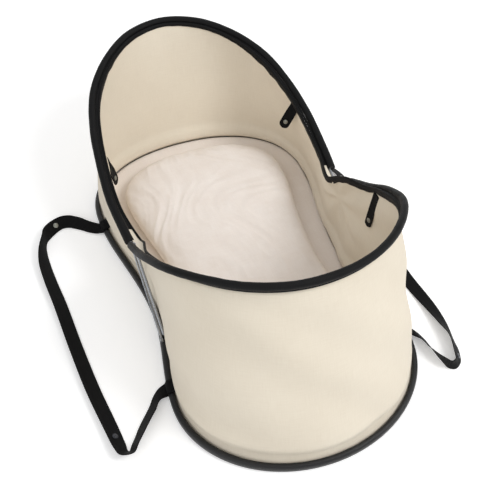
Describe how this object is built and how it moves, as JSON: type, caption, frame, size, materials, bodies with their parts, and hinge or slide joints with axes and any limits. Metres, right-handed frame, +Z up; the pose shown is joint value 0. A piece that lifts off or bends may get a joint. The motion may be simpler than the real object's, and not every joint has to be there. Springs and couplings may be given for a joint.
{
  "type": "carrycot",
  "caption": "Soft-sided carrycot on a folding wire frame, with a raised foot end, a sloping head hoop, an oval mattress and two webbing carrying handles.",
  "frame": {"origin": "underside of the floor cloth, on the floor midway between the two base pivots", "axes": "+Z up, +Y along the cot towards the head end, +X across the cot"},
  "size_m": [0.6371, 0.8595, 0.3048],
  "materials": {
    "wire": "bright drawn spring-steel wire",
    "tape": "black woven polyester binding tape",
    "cotton": "cream cotton canvas, plain weave",
    "mattress": "off-white brushed cotton over soft wadding",
    "board": "thin hardboard base",
    "webbing": "black woven webbing",
    "stud": "dark painted press stud"
  },
  "bodies": {
    "cot": {"base_wire": "wire", "base_band": "tape", "floor_cloth": "cotton", "base_board": "board", "mattress": "mattress", "cot_wall": "cotton", "opening_binding": "tape", "gusset_left": "cotton", "gusset_right": "cotton", "pivot_bracket_left": "wire", "pivot_bracket_right": "wire", "pivot_pin_left": "wire", "pivot_pin_right": "wire", "handle_patch_head_left": "webbing", "handle_patch_foot_left": "webbing", "handle_patch_head_right": "webbing", "handle_patch_foot_right": "webbing"},
    "hood": {"hood_wire": "wire", "hood_sleeve": "tape"},
    "struts": {"strut_left": "wire", "strut_right": "wire", "corner_pin_left": "wire", "corner_pin_right": "wire"},
    "foot_hoop": {"foot_wire": "wire", "foot_sleeve": "tape"},
    "hood_tab_l": {"hood_tab_left": "webbing", "hood_tab_stud_left": "stud"},
    "hood_tab_r": {"hood_tab_right": "webbing", "hood_tab_stud_right": "stud"},
    "foot_tab_l": {"foot_tab_left": "webbing", "foot_tab_stud_left": "stud"},
    "foot_tab_r": {"foot_tab_right": "webbing", "foot_tab_stud_right": "stud"},
    "handle_l": {"handle_left": "webbing", "handle_stud_head_left": "stud", "handle_stud_foot_left": "stud"},
    "handle_r": {"handle_right": "webbing", "handle_stud_head_right": "stud", "handle_stud_foot_right": "stud"}
  },
  "joints": [
    {"name": "strut_fold", "type": "hinge", "parent": "cot", "child": "struts", "pos_m": [0, 0, 0.0165], "axis": [1, 0, 0], "range_deg": [-30, 0], "deforming": ["cot_wall", "opening_binding", "gusset_left", "gusset_right"]},
    {"name": "hood_fold", "type": "hinge", "parent": "cot", "child": "hood", "pos_m": [0, 0, 0.0165], "axis": [1, 0, 0], "range_deg": [-15.2, 0.1]},
    {"name": "foot_hoop_fold", "type": "hinge", "parent": "struts", "child": "foot_hoop", "pos_m": [0, 0.094, 0.158], "axis": [1, 0, 0], "range_deg": [-0.1, 64.2]},
    {"name": "hood_tab_left_swing", "type": "hinge", "parent": "hood", "child": "hood_tab_l", "pos_m": [-0.18088, 0.32, 0.15302], "axis": [-0.0345, -0.9994, 0], "range_deg": [0, 70]},
    {"name": "hood_tab_right_swing", "type": "hinge", "parent": "hood", "child": "hood_tab_r", "pos_m": [0.18088, 0.32, 0.15302], "axis": [-0.0345, 0.9994, 0], "range_deg": [0, 70]},
    {"name": "foot_tab_left_swing", "type": "hinge", "parent": "foot_hoop", "child": "foot_tab_l", "pos_m": [-0.18081, 0.017, 0.20535], "axis": [0.0525, -0.9986, 0], "range_deg": [0, 70]},
    {"name": "foot_tab_right_swing", "type": "hinge", "parent": "foot_hoop", "child": "foot_tab_r", "pos_m": [0.18081, 0.017, 0.20535], "axis": [0.0525, 0.9986, 0], "range_deg": [0, 70]},
    {"name": "handle_left_lift", "type": "hinge", "parent": "cot", "child": "handle_l", "pos_m": [-0.2225, 0.29, 0.0062], "axis": [-0.0282, 0.9996, 0], "range_deg": [0, 80]},
    {"name": "handle_right_lift", "type": "hinge", "parent": "cot", "child": "handle_r", "pos_m": [0.2225, 0.29, 0.0062], "axis": [-0.0207, -0.9998, 0], "range_deg": [0, 80]}
  ],
  "couplings": [
    {"joint": "hood_fold", "follows": "strut_fold", "ratio": 0.5},
    {"joint": "foot_hoop_fold", "follows": "strut_fold", "ratio": -2.1333}
  ]
}
